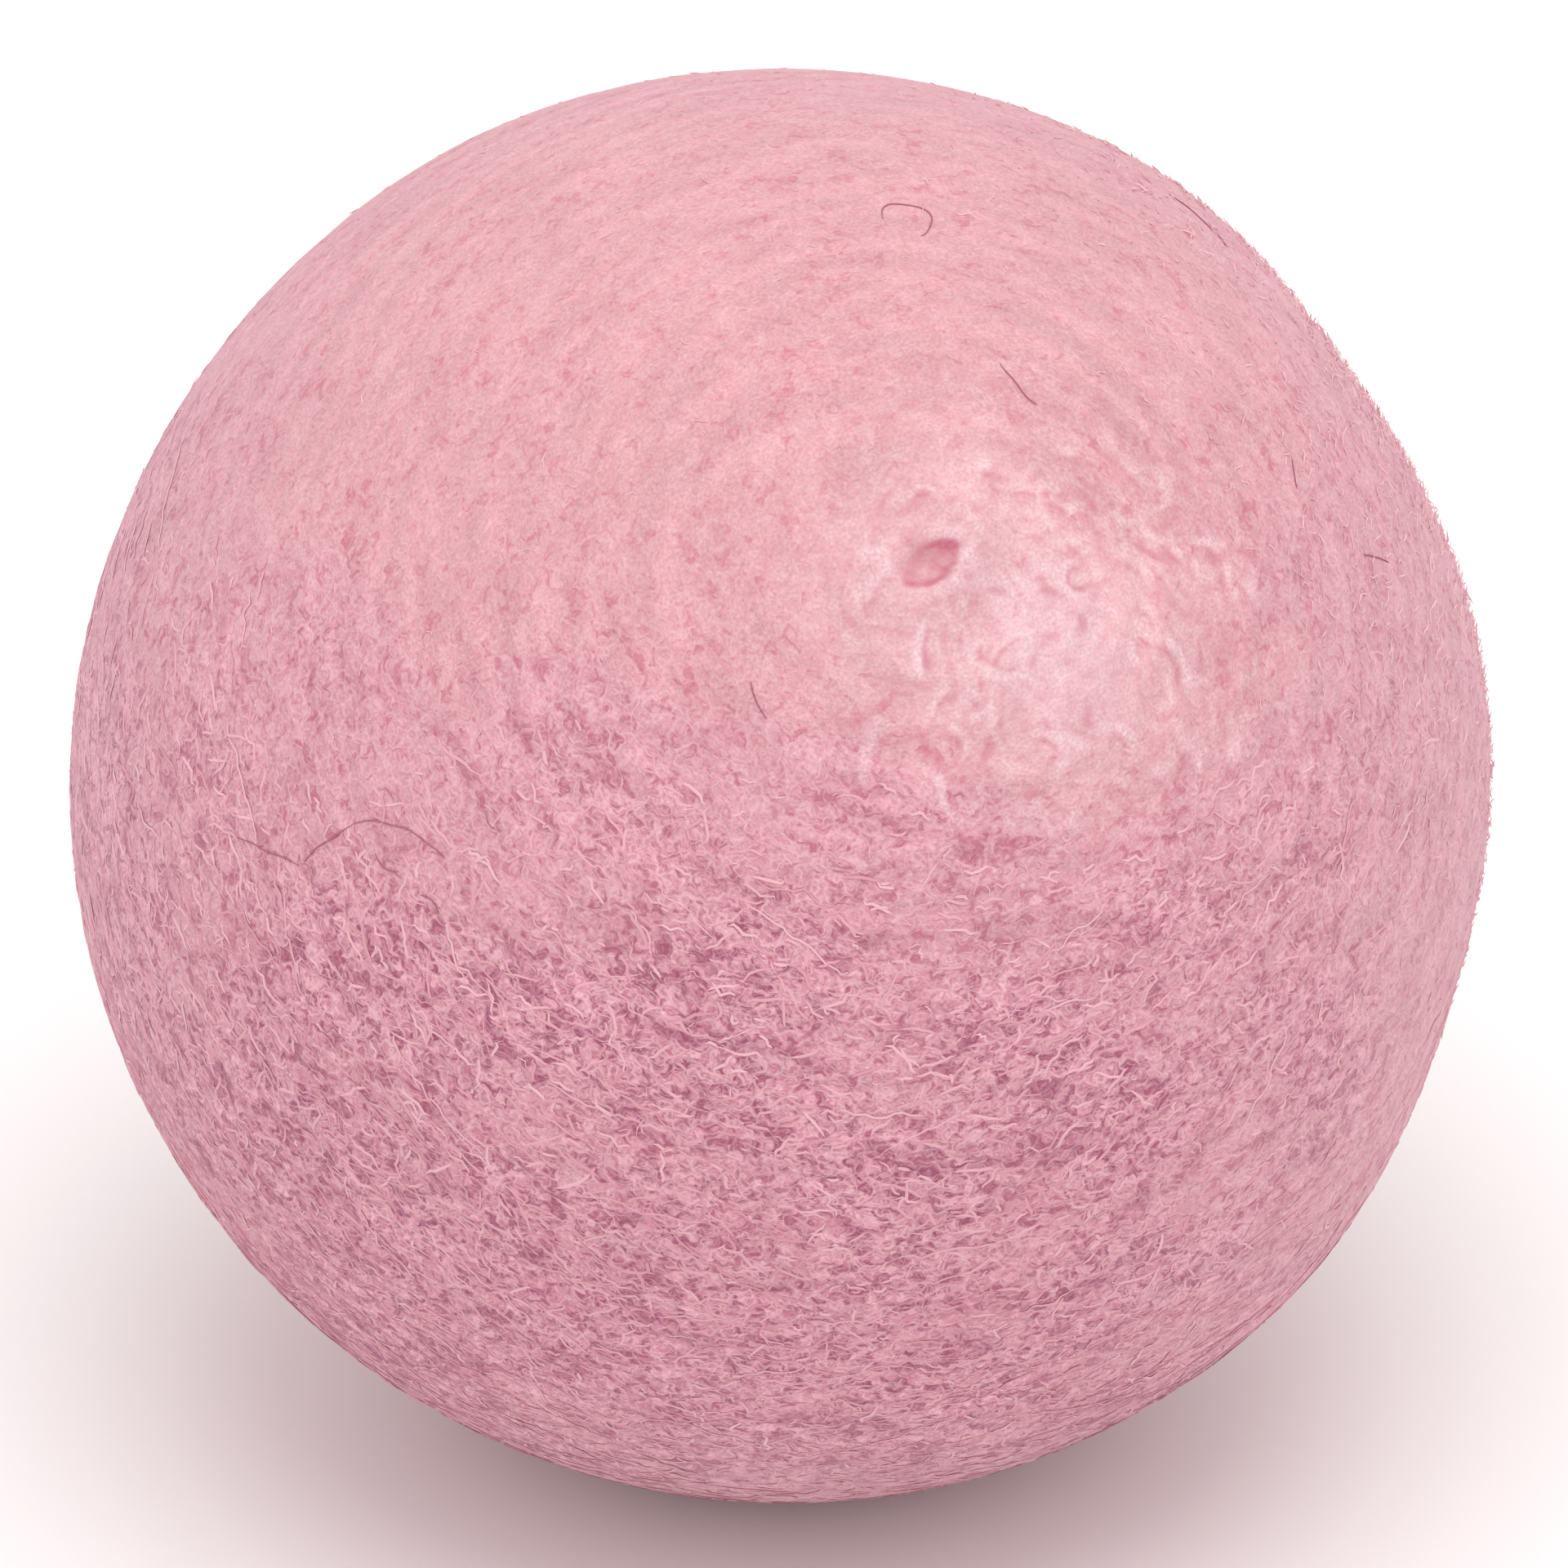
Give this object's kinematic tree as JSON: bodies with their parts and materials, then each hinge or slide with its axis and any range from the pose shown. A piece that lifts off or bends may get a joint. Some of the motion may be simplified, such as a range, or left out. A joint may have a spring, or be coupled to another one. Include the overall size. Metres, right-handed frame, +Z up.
{
  "type": "felt ball",
  "caption": "Pink wet-felted wool craft ball, slightly out of round, with a dimple where the wool was wound and a small flat spot to rest on.",
  "frame": {"origin": "centre of the ball's footprint on the resting surface, at the flat spot", "axes": "+Z up from the flat spot, -Y towards the side with the dimple, +X towards the pressed side"},
  "size_m": [0.0246, 0.025, 0.0248],
  "materials": {
    "felted_wool": "matte felted wool with a soft fibrous nap"
  },
  "bodies": {
    "root": {"felt_ball": "felted_wool"}
  },
  "joints": []
}
